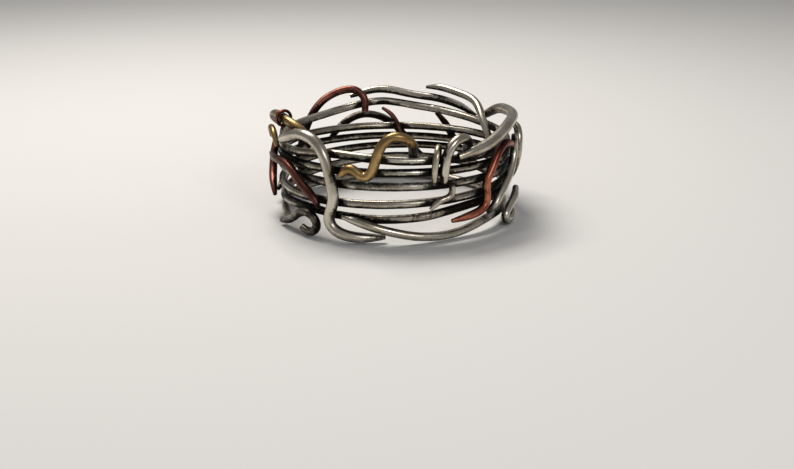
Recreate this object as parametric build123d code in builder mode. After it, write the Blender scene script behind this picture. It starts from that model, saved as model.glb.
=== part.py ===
from build123d import *
from math import cos, radians, sin, tan
import os

# A finger ring woven from bent round wires. Lengths are in millimetres.
# The band's axis is Z, the lowest wires rest on Z = 0, and the front is -Y.

# Driving dimensions
hoop_radius = 9.45          # from the band's axis to the middle of a hoop's wire
hoop_wire = 0.70            # wire of the hoops and of the thinner rim wires
curl_wire = 0.90            # wire of the large silver curl and the right rim
tendril_wire = 0.80         # wire of the brass tendril and scroll, and of the hook
vine_wire = 0.70            # wire of the vines, the thinner curls and the low scrolls
fine_wire = 0.55            # wire of the short strands and clasps
strand_wire = 0.45          # the thin strand inside the band
link_wire = 0.26            # wire of the small copper link
clearance = 0.05            # between two wires that cross or lie side by side
link_play = 0.08            # between the copper link and the wire that it hangs on

# One row is the height from one hoop to the next, and one layer is how far
# a wire moves in or out to pass over a hoop.
row = hoop_wire + clearance
layer_step = (hoop_wire + curl_wire) / 2 + clearance
bottom = curl_wire / 2      # height of the lowest curl's centre line

# The three free hoops: height of the middle, rise at the front, rise on the right, in rows
free_hoops = {
    "upper_hoop": (6.55, 0.45, 0.0),
    "middle_hoop": (5.20, 0.35, 0.0),
    "lower_hoop": (3.68, 0.0, 0.35),
}

# Every other wire is a route of points: the angle round the band from the front
# towards +X in degrees, the height in rows above the lowest curl, and the layer,
# where 0 is level with the hoops, 1 is outside them and -1 is inside them.
routes = {
    # Two wires that wave up and down right round the band, each closed by a butt joint
    "upper_wave_wire": (hoop_wire, [
        (36.5, 8.0, 0.05), (48, 7.9, 0.05), (64, 7.95, 0.05), (82, 7.8, 0.05), (100, 7.7, 0.05),
        (116, 7.65, 0.05), (130, 7.85, 0.05), (143, 8.1, 0.05), (156, 8.4, 0.05), (168, 8.65, 0.05),
        (178, 9.0, 0.05), (187, 9.25, 0.05), (197, 9.05, 0.05), (208, 8.65, 0.05), (220, 8.25, 0.05),
        (233, 8.05, 0.05), (248, 8.0, 0.05), (263, 7.8, 0.05), (278, 7.7, 0.05), (292, 7.72, 0.05),
        (305, 7.9, 0.05), (318, 8.35, 0.05), (329, 8.65, 0.05), (341, 8.6, 0.05), (353, 8.4, 0.05),
        (365, 8.25, 0.05), (376, 8.2, 0.05), (386, 8.15, 0.05), (395, 8.0, 0.05),
    ]),
    "lower_wave_wire": (hoop_wire, [
        (-29.5, 2.15, 0), (-19, 2.05, 0), (-8, 2.0, 0), (4, 2.1, 0), (15, 2.25, 0), (24, 2.55, 0),
        (34, 2.8, 0), (48, 2.88, 0), (66, 2.85, 0), (84, 2.75, 0), (104, 2.6, 0), (126, 2.5, 0),
        (148, 2.4, 0), (168, 2.35, 0), (188, 2.25, 0), (208, 1.95, 0), (228, 1.75, 0), (248, 1.6, 0),
        (268, 1.55, 0), (284, 1.7, 0), (298, 2.0, 0), (311, 2.2, 0), (322, 2.25, 0), (329, 2.15, 0),
    ]),
    # Rim wires
    "bottom_rim_wire": (hoop_wire, [
        (-23.5, 2.35, 0.95), (-19, 2.15, 0.95), (-14.3, 1.85, 0.9), (-9.5, 1.45, 0.8), (-4.5, 1.08, 0.6),
        (0.7, 0.72, 0.4), (6.8, 0.38, 0.3), (14, 0.12, 0.2), (23, -0.02, 0.1), (33, 0.08, 0), (43, 0.45, 0),
        (54, 0.75, 0), (67, 0.8, 0), (84, 0.6, 0), (101, 0.25, 0), (119, -0.02, 0), (137, -0.06, 0),
        (155, -0.03, 0), (173, -0.06, 0), (191, -0.03, 0), (209, -0.06, 0), (227, 0.05, 0), (245, 0.2, 0),
        (262, 0.1, 0), (278, 0.02, 0), (290, 0.02, 0),
    ]),
    "right_rim_wire": (curl_wire, [
        (28, 8.6, 1.0), (34, 8.9, 1.1), (41.5, 9.2, 1.1), (49, 9.75, 1.1), (57.5, 10.35, 0.95),
        (68, 10.7, 0.7), (80, 10.65, 0.5), (92, 10.4, 0.45), (103, 10.2, 0.5), (112, 9.95, 0.65),
        (120, 9.4, 0.85), (127, 8.5, 1.0),
    ]),
    "back_rim_wire": (hoop_wire, [
        (-156.5, 9.8, 0.95), (-163, 10.25, 0.75), (-170, 10.6, 0.45),
        (-177.5, 10.55, 0.3), (-185.5, 10.15, 0.25),
        (-194, 9.85, 0.3), (-203, 9.7, 0.45), (-211, 9.3, 0.7), (-218.5, 8.75, 0.95), (-225.5, 8.0, 1.0),
    ]),
    "back_right_rim_wire": (hoop_wire, [
        (163, 10.85, 0.75), (157, 11.05, 0.5), (151, 11.0, 0.3), (143, 10.7, 0.1), (134.5, 10.5, -0.1),
        (127, 10.1, -0.45), (120.5, 9.4, -0.85), (115, 8.5, -1.1), (110, 7.6, -1.1), (106.5, 6.8, -1.1),
    ]),
    # Silver curls and vines
    "large_silver_curl": (curl_wire, [
        (-61, 9.1, 0.95), (-56, 9.5, 1.0), (-51, 10.0, 1.0), (-45.5, 10.4, 1.0), (-40, 10.35, 1.0),
        (-35.3, 9.8, 1.0), (-32, 8.9, 1.05), (-30, 7.8, 1.05), (-28.8, 6.6, 1.05), (-27.6, 5.4, 1.05),
        (-26.9, 4.2, 1.05), (-28.2, 3.1, 1.05), (-29.7, 2.1, 1.05), (-28.6, 1.2, 1.05), (-24.5, 0.5, 0.95),
        (-18.5, 0.12, 0.6), (-11.5, 0.02, 0.1), (-4.5, 0, -0.35),
    ]),
    "silver_hook": (tendril_wire, [
        (21.5, 6.1, 1.0), (21.4, 7.1, 1.0), (21.9, 8.1, 1.0), (23.1, 9.1, 0.95), (25.5, 9.95, 0.9),
        (29, 10.4, 0.8), (33, 10.25, 0.55), (36.6, 9.75, 0.05), (39.5, 9.1, -0.55), (41.5, 8.3, -1.1),
        (42.4, 7.4, -1.15),
    ]),
    "yellow_hook_strand": (fine_wire, [
        (17.3, 6.2, 1.0), (17.1, 7.1, 1.0), (17.5, 8.1, 0.95), (18.5, 9.0, 0.8), (20.2, 9.6, 0.2),
        (22.2, 9.3, -0.6), (23.8, 8.5, -1.0),
    ]),
    "hook_clasp": (fine_wire, [
        (25.2, 5.65, 1.0), (25.8, 4.95, 1.0), (23.9, 4.4, 1.0),
        (20.9, 4.3, 1.0), (18, 3.9, 1.0), (15.3, 3.35, 1.0),
    ]),
    "silver_vine_right": (vine_wire, [
        (71, 9.1, 0.95), (71.3, 8.1, 1.0), (70.6, 7.0, 1.0), (68, 6.0, 1.0), (64.8, 5.15, 1.0),
        (61, 4.4, 1.0), (57, 3.7, 1.0), (53.2, 3.0, 1.0), (50.4, 2.2, 0.95), (48, 1.7, 0.45),
    ]),
    "right_edge_curl": (vine_wire, [
        (101, 8.75, 1.0), (96.5, 8.8, 1.15), (93, 8.1, 1.25), (91.3, 7.1, 1.25), (91, 6.0, 1.2),
        (92.3, 4.8, 1.1), (95, 3.8, 1.0), (98.5, 2.9, 1.0), (102.5, 2.1, 1.0),
    ]),
    "low_right_scroll": (vine_wire, [
        (84, 2.2, 1.0), (77.5, 2.05, 1.05), (70.5, 1.75, 1.1), (64, 1.45, 1.1), (60, 0.85, 1.1),
        (60.4, 0.2, 1.1), (64, -0.12, 1.1), (68.5, 0.1, 1.1), (70.5, 0.65, 1.1),
    ]),
    "low_left_scroll": (vine_wire, [
        (-64, -0.05, 0.95), (-57.5, 0.3, 1.0), (-52, 1.0, 1.0), (-47.5, 1.8, 1.0), (-42.3, 2.2, 1.05),
        (-37.8, 1.9, 1.1), (-35.5, 1.1, 1.1), (-37.2, 0.3, 1.1), (-41.5, 0.0, 1.1), (-45, 0.4, 1.1),
    ]),
    "inside_strand": (strand_wire, [
        (-172.5, 8.55, -0.85), (-177, 8.0, -0.85), (-180.5, 7.1, -0.85),
        (-183, 6.0, -0.85), (-184.8, 4.9, -0.85),
    ]),
    # Brass
    "brass_tendril": (tendril_wire, [
        (-23.7, 6.75, 1.0), (-21.8, 7.3, 1.0), (-19.1, 7.6, 1.0), (-16.6, 7.3, 1.0), (-14.2, 6.85, 1.0),
        (-11.6, 6.85, 1.0), (-9.4, 7.45, 1.0), (-8.0, 8.5, 1.0), (-6.5, 9.7, 0.95), (-3.8, 10.65, 0.9),
        (0, 11.05, 0.85), (4.2, 10.85, 0.75), (7.6, 10.2, 0.35),
        (9.2, 9.45, -0.5), (9.5, 8.6, -1.08), (9, 7.7, -1.08),
    ]),
    "brass_scroll": (tendril_wire, [
        (-104, 8.8, 1.0), (-97, 9.6, 0.95), (-89, 10.35, 0.75), (-80, 10.85, 0.5), (-71, 11.1, 0.35),
        (-62.5, 10.95, 0.2), (-55.5, 10.3, -0.3), (-51.5, 9.4, -0.9), (-50.5, 8.4, -1.05),
    ]),
    "brass_tail": (fine_wire, [
        (-66, 8.0, 1.0), (-68.5, 8.9, 1.05), (-72.5, 9.55, 1.05),
        (-78, 9.6, 1.05), (-83, 9.0, 1.0), (-86.5, 8.1, 1.0),
    ]),
    # Copper
    "copper_vine_right": (vine_wire, [
        (65.3, 8.35, 1.0), (61, 8.8, 1.0), (56, 8.75, 1.0),
        (52.3, 8.2, 1.0), (50, 7.4, 1.0), (47.8, 6.6, 1.0),
        (45.2, 5.8, 1.0), (44, 4.9, 1.0), (44.8, 3.9, 1.0), (44.6, 3.0, 1.0), (42, 2.4, 1.0),
        (37.5, 2.15, 1.0), (31.5, 1.98, 1.0), (25.5, 1.85, 1.0),
    ]),
    "copper_vine_left": (vine_wire, [
        (-85, 6.2, 1.0), (-76, 6.3, 1.0), (-67, 6.6, 1.0), (-59, 6.75, 1.0), (-53.3, 6.45, 1.0),
        (-49, 5.75, 1.0), (-45.2, 5.0, 1.0), (-40.8, 4.45, 1.0), (-37.2, 3.75, 1.0), (-34.8, 2.9, 1.0),
    ]),
    "copper_edge_vine": (vine_wire, [
        (-99, 7.0, 1.0), (-95.5, 6.15, 1.0), (-92.3, 5.2, 1.0), (-89, 4.3, 1.0), (-84.5, 3.5, 1.0),
        (-79, 2.9, 1.0), (-74.5, 2.1, 1.0),
    ]),
    "copper_back_arch": (vine_wire, [
        (-131, 1.0, 1.0), (-125.5, 1.6, 1.0), (-122.8, 2.6, 1.0), (-123.3, 3.7, 1.0), (-125.5, 4.9, 1.0),
        (-128, 6.2, 1.0), (-131.3, 7.5, 1.0), (-135.5, 8.75, 1.0), (-141, 9.85, 0.85), (-148.5, 10.7, 0.4),
        (-156, 11.0, -0.25), (-160.7, 10.3, -0.85), (-162, 9.3, -1.1), (-161.5, 8.3, -1.1),
    ]),
    # The far side
    "back_silver_curl": (vine_wire, [
        (-143.5, 4.4, 1.0), (-148, 5.6, 1.0), (-154.5, 6.8, 1.0), (-162.5, 7.5, 1.0), (-171, 7.25, 1.0),
        (-178.5, 6.3, 1.0), (-183.5, 5.1, 1.0), (-187, 3.9, 1.0), (-191, 2.7, 1.0), (-196, 1.7, 1.0),
        (-202.5, 1.0, 1.0),
    ]),
    "back_copper_vine": (vine_wire, [
        (158, 7.7, 1.0), (153.5, 6.8, 1.0), (150.5, 5.7, 1.0), (147.5, 4.5, 1.0), (143.5, 3.3, 1.0),
        (138, 2.3, 1.0), (131.5, 1.6, 1.0), (124.5, 1.3, 1.0),
    ]),
    "back_left_curl": (vine_wire, [
        (-113, 8.8, 1.0), (-109.8, 7.7, 1.0), (-108.7, 6.5, 1.0), (-109.3, 5.3, 1.0), (-111.5, 4.1, 1.0),
        (-112.3, 3.0, 1.0), (-110, 2.0, 1.0), (-105.3, 1.3, 1.0), (-99.5, 1.0, 1.0),
    ]),
    "back_right_curl": (vine_wire, [
        (110, 8.0, 1.0), (113.3, 7.0, 1.0), (116, 5.9, 1.0), (116.8, 4.7, 1.0), (115.5, 3.6, 1.0),
        (113, 2.6, 1.0), (112, 1.6, 1.0),
    ]),
}

link_on = "brass_scroll"    # the small copper link hangs on this wire
link_at = 4                 # between this point of its route and the next one


def place(angle, height, layer):
    # A point of a route as a position in the ring's frame
    radius = hoop_radius + layer * layer_step
    turn = radians(angle)
    return Vector(radius * sin(turn), -radius * cos(turn), bottom + height * row)


def bend_radii(points):
    # The largest arcs that leave a short straight run between two bends
    radii = []
    for before, corner, after in zip(points, points[1:], points[2:]):
        arriving = corner - before
        leaving = after - corner
        half_turn = radians(arriving.get_angle(leaving)) / 2
        radii.append(0.45 * min(arriving.length, leaving.length) / tan(half_turn))
    return radii


def bent_wire(label, diameter, route):
    points = [place(*point) for point in route]
    with BuildPart() as wire:
        with BuildLine() as path:
            FilletPolyline(*points, radius=bend_radii(points))
        with BuildSketch(Plane(origin=path.line @ 0, z_dir=path.line % 0)):
            Circle(diameter / 2)
        sweep()
    wire.part.label = label
    return wire.part


def free_hoop(label, middle, front_rise, right_rise):
    # A closed round hoop, tilted by its rises at the front and on the right
    centre = Vector(0, 0, bottom + middle * row)
    axis = Vector(-right_rise * row, front_rise * row, hoop_radius).normalized()
    flat = Plane(origin=centre, x_dir=Vector(1, 0, 0).cross(axis).cross(axis) * -1, z_dir=axis)
    profile = Plane(origin=centre + flat.x_dir * hoop_radius, x_dir=flat.x_dir, z_dir=flat.y_dir * -1)
    with BuildPart() as hoop:
        with BuildSketch(profile):
            Circle(hoop_wire / 2)
        revolve(axis=Axis(centre, axis))
    hoop.part.label = label
    return hoop.part


def copper_link(label):
    # A small round link, threaded on the brass wire and square to it
    carrier_wire, route = routes[link_on]
    start = place(*route[link_at])
    end = place(*route[link_at + 1])
    carrier = Axis((start + end) * 0.5, end - start)
    sideways = carrier.direction.cross(Vector(0, 0, 1))
    across = Plane(origin=carrier.position, x_dir=carrier.direction, z_dir=sideways)
    with BuildPart() as link:
        with BuildSketch(across):
            with Locations((0, carrier_wire / 2 + link_play + link_wire / 2)):
                Circle(link_wire / 2)
        revolve(axis=carrier)
    link.part.label = label
    return link.part


os.makedirs("parts", exist_ok=True)
pieces = []
for name, rises in free_hoops.items():
    pieces.append(free_hoop(name, *rises))
for name, (diameter, route) in routes.items():
    pieces.append(bent_wire(name, diameter, route))
pieces.append(copper_link("copper_link"))
for piece in pieces:
    export_step(piece, f"parts/{piece.label}.step")
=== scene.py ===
import math
import random
import bpy
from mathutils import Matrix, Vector, kdtree


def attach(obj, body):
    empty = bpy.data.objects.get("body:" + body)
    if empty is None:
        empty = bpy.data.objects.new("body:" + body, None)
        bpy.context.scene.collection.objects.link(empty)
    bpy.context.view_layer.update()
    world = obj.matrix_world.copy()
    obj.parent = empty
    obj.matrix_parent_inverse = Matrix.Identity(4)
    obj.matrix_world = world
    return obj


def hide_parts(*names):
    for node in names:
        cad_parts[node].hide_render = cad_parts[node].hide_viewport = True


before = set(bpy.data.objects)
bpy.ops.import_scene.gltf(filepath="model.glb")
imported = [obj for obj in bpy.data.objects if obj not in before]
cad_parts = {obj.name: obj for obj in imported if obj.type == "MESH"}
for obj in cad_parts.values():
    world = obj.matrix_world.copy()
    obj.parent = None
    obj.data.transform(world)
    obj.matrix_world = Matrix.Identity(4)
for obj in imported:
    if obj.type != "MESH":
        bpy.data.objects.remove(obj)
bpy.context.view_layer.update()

mm = 0.001

# the weave: same modules as the metalwork
weave = {
    "hoopRadius": 9.45,   # band axis to the middle of a hoop's wire
    "row": 0.75,          # one wire up
    "layer": 0.85,        # one wire in or out
    "lowest": 0.45,       # height of the lowest centre lines
    "hoopWire": 0.70,     # wire of the free hoops
    "bodyName": "woven_band",
}

tube = {
    "sides": 7,           # curve bevel resolution, 18 faces round a wire
    "step": 0.16,         # length of one ring of faces
    "dentSize": 0.9,      # hammer and plier marks
    "dentDepth": 0.022,
    "uneven": 0.025,      # how far the thickness wanders
    "taper": 0.75,        # how much of a tip's thinning is over one point in
    "tipRound": 0.8,      # share of a tip's radius that is rounded off
    "hoopFaces": (360, 18),
    "linkFaces": (64, 14),
}


def place(angle, height, layer):
    radius = weave["hoopRadius"] + layer * weave["layer"]
    turn = math.radians(angle)
    up = weave["lowest"] + height * weave["row"]
    return Vector((radius * math.sin(turn), -radius * math.cos(turn), up)) * mm


def deselectAll():
    if bpy.context.mode != "OBJECT":
        bpy.ops.object.mode_set(mode="OBJECT")
    bpy.ops.object.select_all(action="DESELECT")


def makeActive(piece):
    deselectAll()
    piece.select_set(True)
    bpy.context.view_layer.objects.active = piece


def applyModifier(piece, kind, **values):
    makeActive(piece)
    modifier = piece.modifiers.new(kind.title(), kind)
    for key, value in values.items():
        setattr(modifier, key, value)
    bpy.ops.object.modifier_apply(modifier=modifier.name)


def newGroup(name, inputs, outputs):
    group = bpy.data.node_groups.new(name, "ShaderNodeTree")
    for socketName, kind, value in inputs:
        socket = group.interface.new_socket(socketName, in_out="INPUT", socket_type=kind)
        if value is not None:
            socket.default_value = value
    for socketName, kind in outputs:
        group.interface.new_socket(socketName, in_out="OUTPUT", socket_type=kind)
    return group, group.nodes.new("NodeGroupInput"), group.nodes.new("NodeGroupOutput")


def addNode(tree, kind, values=None, **settings):
    node = tree.nodes.new(kind)
    for key, value in settings.items():
        setattr(node, key, value)
    for key, value in (values or {}).items():
        node.inputs[key].default_value = value
    return node


def link(tree, source, target):
    tree.links.new(source, target)


def mathNode(tree, operation, first, second=None):
    node = addNode(tree, "ShaderNodeMath", operation=operation)
    for index, value in enumerate((first, second)):
        if value is None:
            continue
        if isinstance(value, (int, float)):
            node.inputs[index].default_value = value
        else:
            link(tree, value, node.inputs[index])
    return node.outputs[0]


def ramp(tree, source, low, high, toLow=0.0, toHigh=1.0):
    node = addNode(tree, "ShaderNodeMapRange", {1: low, 2: high, 3: toLow, 4: toHigh})
    node.interpolation_type = "SMOOTHSTEP"
    link(tree, source, node.inputs[0])
    return node.outputs[0]


def mixColour(tree, factor, first, second):
    node = addNode(tree, "ShaderNodeMix", data_type="RGBA")
    for socket, value in ((node.inputs[0], factor), (node.inputs[6], first), (node.inputs[7], second)):
        if isinstance(value, (int, float, tuple)):
            socket.default_value = value
        else:
            link(tree, value, socket)
    return node.outputs[2]


def buildPatinaAndShadeGroup():
    # dark oxide left in crevices and on the inside, with painted shade underneath and between wires, broken
    # up by noise
    group, given, result = newGroup(
        "patinaAndPaintedShade",
        [("Reach", "NodeSocketFloat", 0.5), ("Patchiness", "NodeSocketFloat", 0.5)],
        [("Mask", "NodeSocketFloat")])
    place3 = addNode(group, "ShaderNodeTexCoord").outputs["Object"]
    crevice = addNode(group, "ShaderNodeAttribute", attribute_name="crevice").outputs["Fac"]
    blotch = addNode(group, "ShaderNodeTexNoise", {"Scale": 1300.0, "Detail": 5.0, "Roughness": 0.62})
    grain = addNode(group, "ShaderNodeTexNoise", {"Scale": 5200.0, "Detail": 3.0, "Roughness": 0.6})
    link(group, place3, blotch.inputs["Vector"])
    link(group, place3, grain.inputs["Vector"])
    centred = mathNode(group, "SUBTRACT", blotch.outputs["Fac"], 0.5)
    spread = mathNode(group, "MULTIPLY", centred, given.outputs["Patchiness"])
    fineCentred = mathNode(group, "SUBTRACT", grain.outputs["Fac"], 0.5)
    fineSpread = mathNode(group, "MULTIPLY", fineCentred, 0.35)
    total = mathNode(group, "ADD", mathNode(group, "ADD", crevice, spread), fineSpread)
    reached = mathNode(group, "ADD", total, mathNode(group, "SUBTRACT", given.outputs["Reach"], 0.5))
    link(group, ramp(group, reached, 0.32, 0.78), result.inputs["Mask"])
    return group


def buildDrawnWireGroup():
    # drawing lines along the wire, plier nicks and small pits
    group, given, result = newGroup(
        "drawnWire",
        [("Line Scale", "NodeSocketFloat", 1.0)],
        [("Lines", "NodeSocketFloat"), ("Pits", "NodeSocketFloat"), ("Height", "NodeSocketFloat")])
    along = addNode(group, "ShaderNodeAttribute", attribute_name="wirePlace").outputs["Vector"]
    stretch = addNode(group, "ShaderNodeMapping", {"Scale": (0.35, 7.0, 7.0)})
    link(group, along, stretch.inputs["Vector"])
    lines = addNode(group, "ShaderNodeTexNoise", {"Detail": 6.0, "Roughness": 0.7})
    link(group, stretch.outputs[0], lines.inputs["Vector"])
    link(group, given.outputs["Line Scale"], lines.inputs["Scale"])
    place3 = addNode(group, "ShaderNodeTexCoord").outputs["Object"]
    pits = addNode(group, "ShaderNodeTexVoronoi", {"Scale": 4200.0, "Randomness": 1.0})
    link(group, place3, pits.inputs["Vector"])
    pitMask = ramp(group, pits.outputs["Distance"], 0.0, 0.32, 1.0, 0.0)
    sparse = addNode(group, "ShaderNodeTexNoise", {"Scale": 1500.0, "Detail": 2.0})
    link(group, place3, sparse.inputs["Vector"])
    pitShare = mathNode(group, "MULTIPLY", pitMask, ramp(group, sparse.outputs["Fac"], 0.5, 0.68))
    linePart = mathNode(group, "MULTIPLY", lines.outputs["Fac"], 0.7)
    height = mathNode(group, "SUBTRACT", linePart, mathNode(group, "MULTIPLY", pitShare, 0.8))
    link(group, lines.outputs["Fac"], result.inputs["Lines"])
    link(group, pitShare, result.inputs["Pits"])
    link(group, height, result.inputs["Height"])
    return group


# each finish's darkest colour is laid on as oxide and as painted shade
finishes = {
    "silver": {
        "bright": (0.66, 0.62, 0.54, 1), "warm": (0.42, 0.36, 0.27, 1), "oxideAndShade": (0.022, 0.018, 0.015, 1),
        "reach": 0.47, "patchiness": 0.6, "smooth": 0.24, "dull": 0.55, "bump": 0.4,
    },
    "hoopSilver": {
        "bright": (0.62, 0.58, 0.50, 1), "warm": (0.36, 0.30, 0.22, 1), "oxideAndShade": (0.016, 0.013, 0.010, 1),
        "reach": 0.53, "patchiness": 0.7, "smooth": 0.25, "dull": 0.6, "bump": 0.4,
    },
    # a darker copy of silver, used on the back, back-corner and low-left wires
    "darkerSilver": {
        "bright": (0.36, 0.33, 0.28, 1), "warm": (0.14, 0.11, 0.085, 1), "oxideAndShade": (0.012, 0.010, 0.009, 1),
        "reach": 0.66, "patchiness": 0.8, "smooth": 0.3, "dull": 0.6, "bump": 0.45,
    },
    "paleBrass": {
        "bright": (0.64, 0.58, 0.44, 1), "warm": (0.42, 0.35, 0.22, 1), "oxideAndShade": (0.030, 0.022, 0.014, 1),
        "reach": 0.50, "patchiness": 0.6, "smooth": 0.26, "dull": 0.52, "bump": 0.35,
    },
    "brass": {
        "bright": (0.52, 0.35, 0.15, 1), "warm": (0.26, 0.155, 0.060, 1), "oxideAndShade": (0.035, 0.020, 0.010, 1),
        "reach": 0.50, "patchiness": 0.65, "smooth": 0.28, "dull": 0.52, "bump": 0.35,
    },
    "copper": {
        "bright": (0.60, 0.21, 0.115, 1), "warm": (0.17, 0.040, 0.030, 1), "oxideAndShade": (0.026, 0.010, 0.008, 1),
        "reach": 0.54, "patchiness": 0.75, "smooth": 0.3, "dull": 0.56, "bump": 0.35,
    },
    # a darker copy of copper, used on the inside, left and back wires
    "darkCopper": {
        "bright": (0.25, 0.095, 0.066, 1), "warm": (0.11, 0.040, 0.031, 1), "oxideAndShade": (0.018, 0.009, 0.008, 1),
        "reach": 0.58, "patchiness": 0.8, "smooth": 0.32, "dull": 0.58, "bump": 0.4,
    },
}
patinaAndShadeGroup = buildPatinaAndShadeGroup()
drawnWireGroup = buildDrawnWireGroup()
materials = {}


def metalMaterial(name):
    look = finishes[name]
    material = bpy.data.materials.new(name)
    material.use_nodes = True
    tree = material.node_tree
    shader = tree.nodes["Principled BSDF"]
    patinaAndShade = addNode(tree, "ShaderNodeGroup", node_tree=patinaAndShadeGroup)
    patinaAndShade.inputs["Reach"].default_value = look["reach"]
    patinaAndShade.inputs["Patchiness"].default_value = look["patchiness"]
    drawn = addNode(tree, "ShaderNodeGroup", node_tree=drawnWireGroup)
    drawn.inputs["Line Scale"].default_value = 1.0
    cloud = addNode(tree, "ShaderNodeTexNoise", {"Scale": 420.0, "Detail": 3.0})
    link(tree, addNode(tree, "ShaderNodeTexCoord").outputs["Object"], cloud.inputs["Vector"])
    metal = mixColour(tree, ramp(tree, cloud.outputs["Fac"], 0.35, 0.7), look["bright"], look["warm"])
    lined = mixColour(tree, ramp(tree, drawn.outputs["Lines"], 0.30, 0.62, 0.45, 0.0), metal, look["warm"])
    pitted = mixColour(tree, mathNode(tree, "MULTIPLY", drawn.outputs["Pits"], 0.8), lined, look["oxideAndShade"])
    # oxide and painted shade: the mask lays the dark colour into crevices, between wires and on undersides
    link(tree, mixColour(tree, patinaAndShade.outputs["Mask"], pitted, look["oxideAndShade"]), shader.inputs["Base Color"])
    shader.inputs["Metallic"].default_value = 1.0
    rubbed = ramp(tree, drawn.outputs["Lines"], 0.25, 0.75, look["smooth"] - 0.05, look["smooth"] + 0.12)
    spread = addNode(tree, "ShaderNodeMix", data_type="FLOAT")
    link(tree, patinaAndShade.outputs["Mask"], spread.inputs[0])
    link(tree, rubbed, spread.inputs[2])
    spread.inputs[3].default_value = look["dull"]
    link(tree, spread.outputs[0], shader.inputs["Roughness"])
    bump = addNode(tree, "ShaderNodeBump", {"Strength": look["bump"], "Distance": 0.00002})
    link(tree, drawn.outputs["Height"], bump.inputs["Height"])
    link(tree, bump.outputs[0], shader.inputs["Normal"])
    materials[name] = material
    return material


for finishName in finishes:
    metalMaterial(finishName)
print("finishes ready")


pieces = []


def centreLine(curve):
    # the curve without its thickness, as a list of points
    depth = curve.data.bevel_depth
    curve.data.bevel_depth = 0.0
    bare = bpy.data.meshes.new_from_object(curve)
    line = [vertex.co.copy() for vertex in bare.vertices]
    bpy.data.meshes.remove(bare)
    curve.data.bevel_depth = depth
    return line


def markWire(piece, line, closed=False):
    # wirePlace: how far along the wire, and round it, in millimetres
    tangents = []
    count = len(line)
    for index in range(count):
        before = line[(index - 1) % count] if closed or index else line[index]
        after = line[(index + 1) % count] if closed or index < count - 1 else line[index]
        tangents.append((after - before).normalized())
    side = tangents[0].orthogonal().normalized()
    sides, lengths, travelled = [], [], 0.0
    for index, tangent in enumerate(tangents):
        side = (side - tangent * side.dot(tangent)).normalized()
        if index:
            travelled += (line[index] - line[index - 1]).length
        sides.append(side.copy())
        lengths.append(travelled)
    tree = kdtree.KDTree(count)
    for index, point in enumerate(line):
        tree.insert(point, index)
    tree.balance()
    mesh = piece.data
    attribute = mesh.attributes.new("wirePlace", "FLOAT_VECTOR", "POINT")
    for vertex in mesh.vertices:
        nearest, index, distance = tree.find(vertex.co)
        offset = vertex.co - nearest
        run = lengths[index] + offset.dot(tangents[index])
        other = tangents[index].cross(sides[index])
        attribute.data[vertex.index].vector = (
            run / mm, offset.dot(sides[index]) / mm, offset.dot(other) / mm)


def roughen(piece):
    # small uneven marks left by hammer and pliers
    texture = bpy.data.textures.new(piece.name + "Dents", "CLOUDS")
    texture.noise_scale = tube["dentSize"] * mm
    texture.noise_depth = 1
    applyModifier(piece, "DISPLACE", texture=texture, texture_coords="LOCAL",
                  strength=tube["dentDepth"] * mm, mid_level=0.5)


def finishPiece(piece, node, metal, body):
    piece.data.materials.clear()
    piece.data.materials.append(materials[metal])
    makeActive(piece)
    bpy.ops.object.shade_smooth_by_angle(angle=math.radians(50))
    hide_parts(node)
    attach(piece, body)
    pieces.append(piece)


def bentWire(node, settings):
    rng = random.Random(node)
    name = node + "_wire"
    data = bpy.data.curves.new(name, "CURVE")
    data.dimensions = "3D"
    spline = data.splines.new("NURBS")
    route = [place(*point) for point in settings["route"]]
    spline.points.add(len(route) - 1)
    startTip, endTip = settings["tips"]
    for index, (point, position) in enumerate(zip(spline.points, route)):
        point.co = (*position, 1.0)
        size = 1.0 - rng.uniform(0.0, tube["uneven"])
        for tip, steps in ((startTip, index), (endTip, len(route) - 1 - index)):
            if steps < 2:
                size *= tip + (1 - tip) * steps * tube["taper"]   # drawn out over the last run
        point.radius = size
    spline.order_u = 3
    spline.use_endpoint_u = True
    runs = [(b - a).length for a, b in zip(route, route[1:])]
    spline.resolution_u = max(4, round(sum(runs) / len(runs) / (tube["step"] * mm)))
    data.bevel_depth = settings["wire"] / 2 * mm
    data.bevel_resolution = tube["sides"]
    data.use_fill_caps = True
    piece = bpy.data.objects.new(name, data)
    bpy.context.collection.objects.link(piece)
    line = centreLine(piece)
    makeActive(piece)
    bpy.ops.object.convert(target="MESH")
    piece = bpy.context.view_layer.objects.active
    bpy.ops.object.mode_set(mode="EDIT")
    bpy.ops.mesh.select_all(action="SELECT")
    bpy.ops.mesh.remove_doubles(threshold=0.002 * mm)
    bpy.ops.mesh.normals_make_consistent(inside=False)
    bpy.ops.object.mode_set(mode="OBJECT")
    tipWidth = settings["wire"] / 2 * mm * min(startTip, endTip) * tube["tipRound"]
    applyModifier(piece, "BEVEL", width=tipWidth, segments=4, limit_method="ANGLE",
                  angle_limit=math.radians(60))
    roughen(piece)
    markWire(piece, line)
    finishPiece(piece, node, settings["metal"], weave["bodyName"])
    return piece


def closedRing(name, faces, radius, wire, middle, turn):
    # a round ring of wire, and the points of its centre line
    bpy.ops.mesh.primitive_torus_add(
        major_segments=faces[0], minor_segments=faces[1], major_radius=radius * mm,
        minor_radius=wire / 2 * mm, location=middle, rotation=turn.to_euler())
    piece = bpy.context.view_layer.objects.active
    piece.name = name
    makeActive(piece)
    bpy.ops.object.transform_apply(location=True, rotation=True, scale=True)
    line = []
    for step in range(faces[0]):
        angle = math.tau * step / faces[0]
        line.append(middle + turn @ Vector((math.cos(angle), math.sin(angle), 0)) * radius * mm)
    return piece, line


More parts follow.
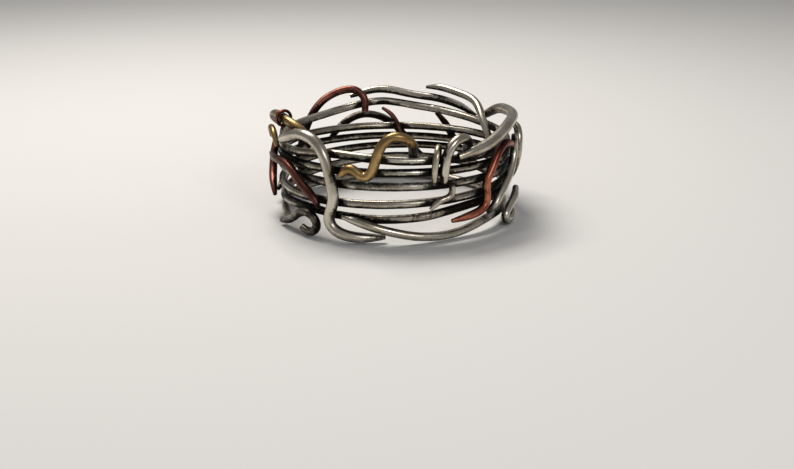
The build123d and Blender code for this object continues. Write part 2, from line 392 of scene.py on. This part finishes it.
def freeHoop(node, middle, frontRise, rightRise):
    centre = Vector((0, 0, weave["lowest"] + middle * weave["row"])) * mm
    axis = Vector((-rightRise * weave["row"], frontRise * weave["row"], weave["hoopRadius"])).normalized()
    turn = Vector((0, 0, 1)).rotation_difference(axis)
    wire = weave["hoopWire"] - tube["dentDepth"]
    piece, line = closedRing(node + "_wire", tube["hoopFaces"], weave["hoopRadius"], wire, centre, turn)
    roughen(piece)
    markWire(piece, line, closed=True)
    finishPiece(piece, node, "hoopSilver", node)


freeHoops = {
    "upper_hoop": (6.55, 0.45, 0.0),   # height of the middle, rise at the front, rise on the right
    "middle_hoop": (5.20, 0.35, 0.0),
    "lower_hoop": (3.68, 0.0, 0.35),
}
for hoopName, rises in freeHoops.items():
    freeHoop(hoopName, *rises)
print("free hoops made")

# upper wave wire, closed by a butt joint under the right rim wire
upperWaveWire = {
    "wire": 0.70, "metal": "hoopSilver", "slot": "hoop_silver", "tips": (0.95, 0.95),
    "route": [
        (36.5, 8, 0.05), (48, 7.9, 0.05), (64, 7.95, 0.05), (82, 7.8, 0.05), (100, 7.7, 0.05),
        (116, 7.65, 0.05), (130, 7.85, 0.05), (143, 8.1, 0.05), (156, 8.4, 0.05), (168, 8.65, 0.05),
        (178, 9, 0.05), (187, 9.25, 0.05), (197, 9.05, 0.05), (208, 8.65, 0.05), (220, 8.25, 0.05),
        (233, 8.05, 0.05), (248, 8, 0.05), (263, 7.8, 0.05), (278, 7.7, 0.05), (292, 7.72, 0.05),
        (305, 7.9, 0.05), (318, 8.35, 0.05), (329, 8.65, 0.05), (341, 8.6, 0.05), (353, 8.4, 0.05),
        (365, 8.25, 0.05), (376, 8.2, 0.05), (386, 8.15, 0.05), (395, 8, 0.05),
    ],
}
bentWire("upper_wave_wire", upperWaveWire)

# lower wave wire
lowerWaveWire = {
    "wire": 0.70, "metal": "hoopSilver", "slot": "hoop_silver", "tips": (0.95, 0.95),
    "route": [
        (-29.5, 2.15, 0), (-19, 2.05, 0), (-8, 2, 0), (4, 2.1, 0), (15, 2.25, 0), (24, 2.55, 0),
        (34, 2.8, 0), (48, 2.88, 0), (66, 2.85, 0), (84, 2.75, 0), (104, 2.6, 0), (126, 2.5, 0),
        (148, 2.4, 0), (168, 2.35, 0), (188, 2.25, 0), (208, 1.95, 0), (228, 1.75, 0), (248, 1.6, 0),
        (268, 1.55, 0), (284, 1.7, 0), (298, 2, 0), (311, 2.2, 0), (322, 2.25, 0), (329, 2.15, 0),
    ],
}
bentWire("lower_wave_wire", lowerWaveWire)

# bottom rim wire, with a drawn-out point at the front
bottomRimWire = {
    "wire": 0.70, "metal": "silver", "slot": "silver", "tips": (0.35, 0.9),
    "route": [
        (-23.5, 2.35, 0.95), (-19, 2.15, 0.95), (-14.3, 1.85, 0.9), (-9.5, 1.45, 0.8),
        (-4.5, 1.08, 0.6), (0.7, 0.72, 0.4), (6.8, 0.38, 0.3), (14, 0.12, 0.2), (23, -0.02, 0.1),
        (33, 0.08, 0), (43, 0.45, 0), (54, 0.75, 0), (67, 0.8, 0), (84, 0.6, 0), (101, 0.25, 0),
        (119, -0.02, 0), (137, -0.06, 0), (155, -0.03, 0), (173, -0.06, 0), (191, -0.03, 0),
        (209, -0.06, 0), (227, 0.05, 0), (245, 0.2, 0), (262, 0.1, 0), (278, 0.02, 0), (290, 0.02, 0),
    ],
}
bentWire("bottom_rim_wire", bottomRimWire)

# right rim wire
rightRimWire = {
    "wire": 0.90, "metal": "silver", "slot": "silver", "tips": (0.6, 0.8),
    "route": [
        (28, 8.6, 1), (34, 8.9, 1.1), (41.5, 9.2, 1.1), (49, 9.75, 1.1), (57.5, 10.35, 0.95),
        (68, 10.7, 0.7), (80, 10.65, 0.5), (92, 10.4, 0.45), (103, 10.2, 0.5), (112, 9.95, 0.65),
        (120, 9.4, 0.85), (127, 8.5, 1),
    ],
}
bentWire("right_rim_wire", rightRimWire)

# back rim wire
backRimWire = {
    "wire": 0.70, "metal": "silver", "slot": "silver", "tips": (0.6, 0.5),
    "route": [
        (-156.5, 9.8, 0.95), (-163, 10.25, 0.75), (-170, 10.6, 0.45), (-177.5, 10.55, 0.3),
        (-185.5, 10.15, 0.25), (-194, 9.85, 0.3), (-203, 9.7, 0.45), (-211, 9.3, 0.7),
        (-218.5, 8.75, 0.95), (-225.5, 8, 1),
    ],
}
bentWire("back_rim_wire", backRimWire)

# back right rim wire, which dips inside
backRightRimWire = {
    "wire": 0.70, "metal": "silver", "slot": "silver", "tips": (0.4, 0.85),
    "route": [
        (163, 10.85, 0.75), (157, 11.05, 0.5), (151, 11, 0.3), (143, 10.7, 0.1), (134.5, 10.5, -0.1),
        (127, 10.1, -0.45), (120.5, 9.4, -0.85), (115, 8.5, -1.1), (110, 7.6, -1.1),
        (106.5, 6.8, -1.1),
    ],
}
bentWire("back_right_rim_wire", backRightRimWire)

# large curl on the left
largeSilverCurl = {
    "wire": 0.90, "metal": "silver", "slot": "silver", "tips": (0.7, 0.4),
    "route": [
        (-61, 9.1, 0.95), (-56, 9.5, 1), (-51, 10, 1), (-45.5, 10.4, 1), (-40, 10.35, 1),
        (-35.3, 9.8, 1), (-32, 8.9, 1.05), (-30, 7.8, 1.05), (-28.8, 6.6, 1.05), (-27.6, 5.4, 1.05),
        (-26.9, 4.2, 1.05), (-28.2, 3.1, 1.05), (-29.7, 2.1, 1.05), (-28.6, 1.2, 1.05),
        (-24.5, 0.5, 0.95), (-18.5, 0.12, 0.6), (-11.5, 0.02, 0.1), (-4.5, 0, -0.35),
    ],
}
bentWire("large_silver_curl", largeSilverCurl)

# hook over the rim on the right
silverHook = {
    "wire": 0.80, "metal": "silver", "slot": "silver", "tips": (0.8, 0.7),
    "route": [
        (21.5, 6.1, 1), (21.4, 7.1, 1), (21.9, 8.1, 1), (23.1, 9.1, 0.95), (25.5, 9.95, 0.9),
        (29, 10.4, 0.8), (33, 10.25, 0.55), (36.6, 9.75, 0.05), (39.5, 9.1, -0.55), (41.5, 8.3, -1.1),
        (42.4, 7.4, -1.15),
    ],
}
bentWire("silver_hook", silverHook)

# second strand of the hook
yellowHookStrand = {
    "wire": 0.55, "metal": "paleBrass", "slot": "brass", "tips": (0.7, 0.7),
    "route": [
        (17.3, 6.2, 1), (17.1, 7.1, 1), (17.5, 8.1, 0.95), (18.5, 9, 0.8), (20.2, 9.6, 0.2),
        (22.2, 9.3, -0.6), (23.8, 8.5, -1),
    ],
}
bentWire("yellow_hook_strand", yellowHookStrand)

# small clasp under the hook
hookClasp = {
    "wire": 0.55, "metal": "silver", "slot": "silver", "tips": (0.85, 0.5),
    "route": [
        (25.2, 5.65, 1), (25.8, 4.95, 1), (23.9, 4.4, 1), (20.9, 4.3, 1), (18, 3.9, 1),
        (15.3, 3.35, 1),
    ],
}
bentWire("hook_clasp", hookClasp)

# silver vine on the right
silverVineRight = {
    "wire": 0.70, "metal": "silver", "slot": "silver", "tips": (0.7, 0.5),
    "route": [
        (71, 9.1, 0.95), (71.3, 8.1, 1), (70.6, 7, 1), (68, 6, 1), (64.8, 5.15, 1), (61, 4.4, 1),
        (57, 3.7, 1), (53.2, 3, 1), (50.4, 2.2, 0.95), (48, 1.7, 0.45),
    ],
}
bentWire("silver_vine_right", silverVineRight)

# curl at the right edge
rightEdgeCurl = {
    "wire": 0.70, "metal": "silver", "slot": "silver", "tips": (0.6, 0.5),
    "route": [
        (101, 8.75, 1), (96.5, 8.8, 1.15), (93, 8.1, 1.25), (91.3, 7.1, 1.25), (91, 6, 1.2),
        (92.3, 4.8, 1.1), (95, 3.8, 1), (98.5, 2.9, 1), (102.5, 2.1, 1),
    ],
}
bentWire("right_edge_curl", rightEdgeCurl)

# scroll low on the right
lowRightScroll = {
    "wire": 0.70, "metal": "silver", "slot": "silver", "tips": (0.8, 0.7),
    "route": [
        (84, 2.2, 1), (77.5, 2.05, 1.05), (70.5, 1.75, 1.1), (64, 1.45, 1.1), (60, 0.85, 1.1),
        (60.4, 0.2, 1.1), (64, -0.12, 1.1), (68.5, 0.1, 1.1), (70.5, 0.65, 1.1),
    ],
}
bentWire("low_right_scroll", lowRightScroll)

# scroll low on the left
lowLeftScroll = {
    "wire": 0.70, "metal": "darkerSilver", "slot": "silver", "tips": (0.7, 0.8),
    "route": [
        (-64, -0.05, 0.95), (-57.5, 0.3, 1), (-52, 1, 1), (-47.5, 1.8, 1), (-42.3, 2.2, 1.05),
        (-37.8, 1.9, 1.1), (-35.5, 1.1, 1.1), (-37.2, 0.3, 1.1), (-41.5, 0, 1.1), (-45, 0.4, 1.1),
    ],
}
bentWire("low_left_scroll", lowLeftScroll)

# thin strand inside the band
insideStrand = {
    "wire": 0.45, "metal": "darkCopper", "slot": "silver", "tips": (0.55, 0.6),
    "route": [
        (-172.5, 8.55, -0.85), (-177, 8, -0.85), (-180.5, 7.1, -0.85), (-183, 6, -0.85),
        (-184.8, 4.9, -0.85),
    ],
}
bentWire("inside_strand", insideStrand)

# brass tendril
brassTendril = {
    "wire": 0.80, "metal": "brass", "slot": "brass", "tips": (0.6, 0.8),
    "route": [
        (-23.7, 6.75, 1), (-21.8, 7.3, 1), (-19.1, 7.6, 1), (-16.6, 7.3, 1), (-14.2, 6.85, 1),
        (-11.6, 6.85, 1), (-9.4, 7.45, 1), (-8, 8.5, 1), (-6.5, 9.7, 0.95), (-3.8, 10.65, 0.9),
        (0, 11.05, 0.85), (4.2, 10.85, 0.75), (7.6, 10.2, 0.35), (9.2, 9.45, -0.5), (9.5, 8.6, -1.08),
        (9, 7.7, -1.08),
    ],
}
bentWire("brass_tendril", brassTendril)

# brass scroll over the left rim
brassScroll = {
    "wire": 0.80, "metal": "brass", "slot": "brass", "tips": (0.8, 0.8),
    "route": [
        (-104, 8.8, 1), (-97, 9.6, 0.95), (-89, 10.35, 0.75), (-80, 10.85, 0.5), (-71, 11.1, 0.35),
        (-62.5, 10.95, 0.2), (-55.5, 10.3, -0.3), (-51.5, 9.4, -0.9), (-50.5, 8.4, -1.05),
    ],
}
bentWire("brass_scroll", brassScroll)

# short brass tail under the scroll
brassTail = {
    "wire": 0.55, "metal": "brass", "slot": "brass", "tips": (0.7, 0.55),
    "route": [
        (-66, 8, 1), (-68.5, 8.9, 1.05), (-72.5, 9.55, 1.05), (-78, 9.6, 1.05), (-83, 9, 1),
        (-86.5, 8.1, 1),
    ],
}
bentWire("brass_tail", brassTail)

# copper vine on the right
copperVineRight = {
    "wire": 0.70, "metal": "copper", "slot": "copper", "tips": (0.8, 0.45),
    "route": [
        (65.3, 8.35, 1), (61, 8.8, 1), (56, 8.75, 1), (52.3, 8.2, 1), (50, 7.4, 1), (47.8, 6.6, 1),
        (45.2, 5.8, 1), (44, 4.9, 1), (44.8, 3.9, 1), (44.6, 3, 1), (42, 2.4, 1), (37.5, 2.15, 1),
        (31.5, 1.98, 1), (25.5, 1.85, 1),
    ],
}
bentWire("copper_vine_right", copperVineRight)

# copper vine on the left
copperVineLeft = {
    "wire": 0.70, "metal": "darkCopper", "slot": "copper", "tips": (0.7, 0.5),
    "route": [
        (-85, 6.2, 1), (-76, 6.3, 1), (-67, 6.6, 1), (-59, 6.75, 1), (-53.3, 6.45, 1), (-49, 5.75, 1),
        (-45.2, 5, 1), (-40.8, 4.45, 1), (-37.2, 3.75, 1), (-34.8, 2.9, 1),
    ],
}
bentWire("copper_vine_left", copperVineLeft)

# copper vine at the left edge
copperEdgeVine = {
    "wire": 0.70, "metal": "darkCopper", "slot": "copper", "tips": (0.7, 0.5),
    "route": [
        (-99, 7, 1), (-95.5, 6.15, 1), (-92.3, 5.2, 1), (-89, 4.3, 1), (-84.5, 3.5, 1), (-79, 2.9, 1),
        (-74.5, 2.1, 1),
    ],
}
bentWire("copper_edge_vine", copperEdgeVine)

# copper arch over the back rim
copperBackArch = {
    "wire": 0.70, "metal": "darkCopper", "slot": "copper", "tips": (0.7, 0.9),
    "route": [
        (-131, 1, 1), (-125.5, 1.6, 1), (-122.8, 2.6, 1), (-123.3, 3.7, 1), (-125.5, 4.9, 1),
        (-128, 6.2, 1), (-131.3, 7.5, 1), (-135.5, 8.75, 1), (-141, 9.85, 0.85), (-148.5, 10.7, 0.4),
        (-156, 11, -0.25), (-160.7, 10.3, -0.85), (-162, 9.3, -1.1), (-161.5, 8.3, -1.1),
    ],
}
bentWire("copper_back_arch", copperBackArch)

# silver curl on the back
backSilverCurl = {
    "wire": 0.70, "metal": "darkerSilver", "slot": "silver", "tips": (0.55, 0.5),
    "route": [
        (-143.5, 4.4, 1), (-148, 5.6, 1), (-154.5, 6.8, 1), (-162.5, 7.5, 1), (-171, 7.25, 1),
        (-178.5, 6.3, 1), (-183.5, 5.1, 1), (-187, 3.9, 1), (-191, 2.7, 1), (-196, 1.7, 1),
        (-202.5, 1, 1),
    ],
}
bentWire("back_silver_curl", backSilverCurl)

# copper vine on the back
backCopperVine = {
    "wire": 0.70, "metal": "darkCopper", "slot": "copper", "tips": (0.5, 0.55),
    "route": [
        (158, 7.7, 1), (153.5, 6.8, 1), (150.5, 5.7, 1), (147.5, 4.5, 1), (143.5, 3.3, 1),
        (138, 2.3, 1), (131.5, 1.6, 1), (124.5, 1.3, 1),
    ],
}
bentWire("back_copper_vine", backCopperVine)

# silver curl at the back left
backLeftCurl = {
    "wire": 0.70, "metal": "darkerSilver", "slot": "silver", "tips": (0.55, 0.5),
    "route": [
        (-113, 8.8, 1), (-109.8, 7.7, 1), (-108.7, 6.5, 1), (-109.3, 5.3, 1), (-111.5, 4.1, 1),
        (-112.3, 3, 1), (-110, 2, 1), (-105.3, 1.3, 1), (-99.5, 1, 1),
    ],
}
bentWire("back_left_curl", backLeftCurl)

# silver curl at the back right
backRightCurl = {
    "wire": 0.70, "metal": "darkerSilver", "slot": "silver", "tips": (0.55, 0.5),
    "route": [
        (110, 8, 1), (113.3, 7, 1), (116, 5.9, 1), (116.8, 4.7, 1), (115.5, 3.6, 1), (113, 2.6, 1),
        (112, 1.6, 1),
    ],
}
bentWire("back_right_curl", backRightCurl)

print("bent wires made")


# small copper link, threaded on the brass scroll
copperLinkRing = {
    "wire": 0.26, "play": 0.08,
    "slack": 0.004,       # how much thinner the wire is drawn
    "after": 4,           # it hangs past this point of the scroll's route
}


def copperLink(settings):
    start, end = [place(*point) for point in brassScroll["route"][settings["after"]:][:2]]
    turn = Vector((0, 0, 1)).rotation_difference((end - start).normalized())
    radius = (brassScroll["wire"] + settings["wire"]) / 2 + settings["play"]
    piece, line = closedRing("copper_link_ring", tube["linkFaces"], radius,
                             settings["wire"] - settings["slack"], (start + end) / 2, turn)
    markWire(piece, line, closed=True)
    finishPiece(piece, "copper_link", "copper", "copper_link")


copperLink(copperLinkRing)


oxideAndShade = {
    "base": 0.56,         # oxide and painted shade where nothing rubs and nothing is near
    "rubbed": 0.20,       # less on faces that point out or in
    "top": 0.32,          # painted shade: less on top, more underneath, as if lit from above
    "inside": 0.05,       # a little more on the finger's side
    "nearWireOxideAndShade": 0.95,     # more oxide and painted shade close to another wire
    "reach": 1.05,        # how near, in millimetres
}


def boundsOf(piece):
    points = [vertex.co for vertex in piece.data.vertices]
    low = [min(point[axis] for point in points) for axis in range(3)]
    high = [max(point[axis] for point in points) for axis in range(3)]
    return low, high


def near(first, second, reach):
    return all(first[0][axis] - reach < second[1][axis] and second[0][axis] - reach < first[1][axis]
               for axis in range(3))


def cloudOf(piece):
    points = [vertex.co for vertex in piece.data.vertices][::3]
    tree = kdtree.KDTree(len(points))
    for index, point in enumerate(points):
        tree.insert(point, index)
    tree.balance()
    return tree


def markOxideAndShade(settings):
    # oxide and painted shade: high where another wire is close or nothing rubs the surface, with painted
    # shade darker underneath
    reach = settings["reach"] * mm
    clouds = {piece.name: cloudOf(piece) for piece in pieces}
    corners = {piece.name: boundsOf(piece) for piece in pieces}
    for piece in pieces:
        attribute = piece.data.attributes.new("crevice", "FLOAT", "POINT")
        others = [other for other in pieces if other is not piece
                  and near(corners[piece.name], corners[other.name], reach)]
        for vertex in piece.data.vertices:
            spot, normal = vertex.co, vertex.normal
            facing = normal.dot(Vector((spot.x, spot.y, 0)).normalized())
            # painted shade: undersides darker than tops, as if lit from above; oxide where nothing rubs
            dark = settings["base"] - settings["rubbed"] * abs(facing) - settings["top"] * normal.z
            if facing < 0:
                dark += settings["inside"]
            gap = reach
            for other in others:
                found, index, distance = clouds[other.name].find(spot)
                if distance < gap and (found - spot).dot(normal) > 0:
                    gap = distance
            # oxide and painted shade where another wire lies close
            dark += settings["nearWireOxideAndShade"] * (1 - gap / reach) ** 1.2
            attribute.data[vertex.index].value = max(0.0, min(1.2, dark))


markOxideAndShade(oxideAndShade)
print("crevices marked")


stageLook = {
    "floorColour": (0.80, 0.79, 0.77, 1), "floorSize": 1.2, "floorRoughness": 0.85,
    "skyColour": (0.55, 0.55, 0.56, 1), "skyStrength": 0.42,
    "cameraPlace": (0.0, -86.93, 27.50), "lookDown": 19.02, "lookRight": 0.135, "lens": 47.95,
}
lamps = {
    "softTop": {"place": (-40, 50, 140), "size": (90, 60), "power": 0.20, "colour": (1.0, 0.96, 0.90)},
    "softFront": {"place": (70, -130, 90), "size": (50, 30), "power": 0.05, "colour": (1, 1, 1)},
}


def buildStage(settings):
    bpy.ops.mesh.primitive_plane_add(size=settings["floorSize"], location=(0, 0, 0))
    floor = bpy.context.view_layer.objects.active
    floor.name = "floor"
    material = bpy.data.materials.new("paleFloor")
    material.use_nodes = True
    shader = material.node_tree.nodes["Principled BSDF"]
    shader.inputs["Base Color"].default_value = settings["floorColour"]
    shader.inputs["Roughness"].default_value = settings["floorRoughness"]
    floor.data.materials.append(material)
    world = bpy.data.worlds.new("studio")
    bpy.context.scene.world = world
    world.use_nodes = True
    sky = world.node_tree.nodes["Background"]
    sky.inputs["Color"].default_value = settings["skyColour"]
    sky.inputs["Strength"].default_value = settings["skyStrength"]


def areaLight(name, settings):
    data = bpy.data.lights.new(name, "AREA")
    data.shape = "RECTANGLE"
    data.size, data.size_y = [side * mm for side in settings["size"]]
    data.energy = settings["power"]
    data.color = settings["colour"]
    lamp = bpy.data.objects.new(name, data)
    lamp.location = Vector(settings["place"]) * mm
    lamp.rotation_euler = (Vector((0, 0, 4)) * mm - lamp.location).to_track_quat("-Z", "Y").to_euler()
    bpy.context.collection.objects.link(lamp)


def buildCamera(settings):
    data = bpy.data.cameras.new("camera")
    data.lens = settings["lens"]
    data.sensor_width = 36.0
    data.clip_start = 0.001
    camera = bpy.data.objects.new("camera", data)
    camera.location = Vector(settings["cameraPlace"]) * mm
    camera.rotation_euler = (math.radians(90 - settings["lookDown"]), 0, -math.radians(settings["lookRight"]))
    bpy.context.collection.objects.link(camera)
    bpy.context.scene.camera = camera


buildStage(stageLook)
for lampName, lampSettings in lamps.items():
    areaLight(lampName, lampSettings)
buildCamera(stageLook)
bpy.context.scene.view_settings.view_transform = "Standard"
print("stage ready")
